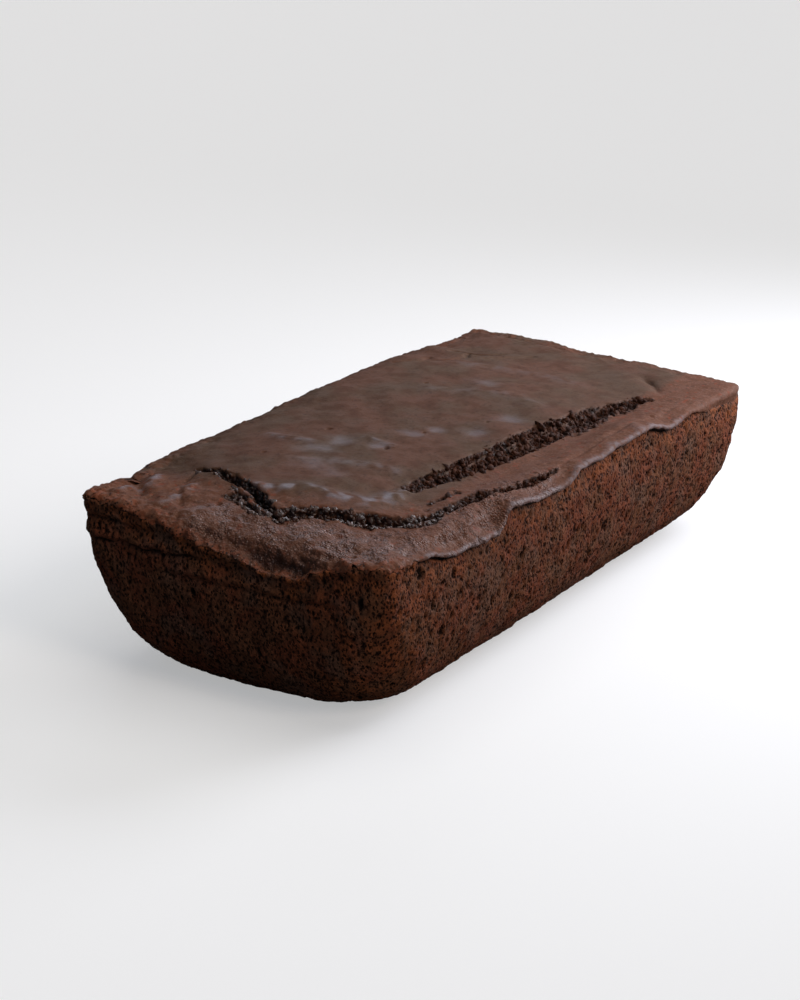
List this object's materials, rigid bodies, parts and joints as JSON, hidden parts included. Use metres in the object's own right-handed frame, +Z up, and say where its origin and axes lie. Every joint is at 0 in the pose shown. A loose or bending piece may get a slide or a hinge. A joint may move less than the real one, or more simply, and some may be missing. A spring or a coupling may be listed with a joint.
{
  "type": "banana bread",
  "caption": "Uncut dark banana bread loaf with a torn, slightly domed top crust, a sagging rim lip, porous walls and a flat base.",
  "frame": {"origin": "middle of the flat base, at the height of the surface it rests on", "axes": "+X along the loaf from the sagging front end to the lower back end, +Y across it, +Z up"},
  "size_m": [0.2426, 0.1136, 0.0613],
  "materials": {
    "crust": "satin"
  },
  "bodies": {
    "root": {"loaf": "crust"}
  },
  "joints": []
}
